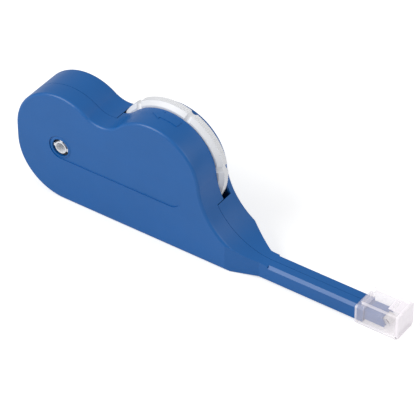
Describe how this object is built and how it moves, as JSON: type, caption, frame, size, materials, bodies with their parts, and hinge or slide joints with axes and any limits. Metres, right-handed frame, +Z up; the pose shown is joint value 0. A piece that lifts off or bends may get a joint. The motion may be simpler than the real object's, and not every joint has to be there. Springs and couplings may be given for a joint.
{
  "type": "mpo connector cleaning tool",
  "caption": "Pocket tape cleaner for multi-fibre connectors: blue two-hump casing, white thumb wheel that feeds the tape, slim neck with a sprung tip and a clear cap.",
  "frame": {"origin": "on the flat bottom edge, straight below the thumb-wheel axle and at mid thickness", "axes": "+X along the neck towards the tip, +Z up from the bottom edge to the thumb wheel, +Y through the thickness to the side away from the reel's hub"},
  "size_m": [0.2386, 0.0272, 0.077],
  "materials": {
    "blue_shell": "satin moulded",
    "white_wheel": "satin moulded",
    "white_reel": "satin moulded",
    "gear_plastic": "satin moulded",
    "grey_plastic": "satin moulded",
    "tip_plastic": "satin moulded",
    "cleaning_tape": "fine woven",
    "used_tape": "fine woven",
    "felt": "pressed felt",
    "soft_pad": "matt",
    "steel_pin": "ground",
    "spring_steel": "drawn wire",
    "clear_cap": "clear, slightly frosted"
  },
  "bodies": {
    "casing": {"near_shell": "blue_shell", "far_shell": "blue_shell", "nozzle": "blue_shell", "wheel_axle": "steel_pin", "idler_pin": "steel_pin", "roller_pins": "steel_pin", "pawl_pin": "steel_pin", "tape_feed": "cleaning_tape", "tape_return": "used_tape", "tip_spring": "spring_steel"},
    "wheel": {"thumb_wheel": "white_wheel", "takeup_reel": "white_reel", "takeup_flange": "white_reel", "takeup_roll": "used_tape", "drive_gear": "gear_plastic", "ratchet_ring": "gear_plastic"},
    "supply": {"supply_reel": "white_reel", "supply_flange": "white_reel", "supply_roll": "cleaning_tape", "supply_gear": "gear_plastic", "clutch_felt": "felt"},
    "idler": {"idler_gear": "gear_plastic"},
    "feed_guide": {"feed_roller": "gear_plastic"},
    "return_guide": {"return_roller": "gear_plastic"},
    "pawl": {"pawl": "grey_plastic"},
    "tip": {"tip_slider": "tip_plastic", "tip_head": "tip_plastic", "tip_pad": "soft_pad", "tip_tape": "cleaning_tape"},
    "cap": {"cap_body": "clear_cap", "cap_hinge_pin": "steel_pin"},
    "lid": {"cap_lid": "clear_cap"}
  },
  "joints": [
    {"name": "wheel_spin", "type": "hinge", "parent": "casing", "child": "wheel", "pos_m": [0, 0, 0.0436], "axis": [0, -1, 0], "continuous": true},
    {"name": "supply_spin", "type": "hinge", "parent": "casing", "child": "supply", "pos_m": [-0.0594, 0, 0.0346], "axis": [0, -1, 0], "continuous": true},
    {"name": "idler_spin", "type": "hinge", "parent": "casing", "child": "idler", "pos_m": [-0.02772, 0, 0.0394], "axis": [0, -1, 0], "continuous": true},
    {"name": "feed_roller_spin", "type": "hinge", "parent": "casing", "child": "feed_guide", "pos_m": [0.024, 0, 0.0072], "axis": [0, -1, 0], "continuous": true},
    {"name": "return_roller_spin", "type": "hinge", "parent": "casing", "child": "return_guide", "pos_m": [0.04102, 0, 0.01024], "axis": [0, -1, 0], "continuous": true},
    {"name": "pawl_lift", "type": "hinge", "parent": "casing", "child": "pawl", "pos_m": [-0.01302, 0, 0.05453], "axis": [0, 1, 0], "range_deg": [-5, 3], "stiffness_Nm_per_rad": 0.0005},
    {"name": "tip_slide", "type": "slide", "parent": "casing", "child": "tip", "axis": [1, 0, 0], "range_m": [-0.003, 0], "stiffness_N_per_m": 150, "deforming": ["tip_spring"]},
    {"name": "cap_pull", "type": "slide", "parent": "casing", "child": "cap", "axis": [1, 0, 0], "range_m": [0, 0.03]},
    {"name": "lid_hinge", "type": "hinge", "parent": "cap", "child": "lid", "pos_m": [0.14865, 0, 0.00115], "axis": [0, 1, 0], "range_deg": [0, 90]}
  ],
  "couplings": [
    {"joint": "supply_spin", "follows": "wheel_spin", "ratio": 0.81818},
    {"joint": "idler_spin", "follows": "wheel_spin", "ratio": -1.8},
    {"joint": "feed_roller_spin", "follows": "wheel_spin", "ratio": 5.5161},
    {"joint": "return_roller_spin", "follows": "wheel_spin", "ratio": -5.5161}
  ]
}
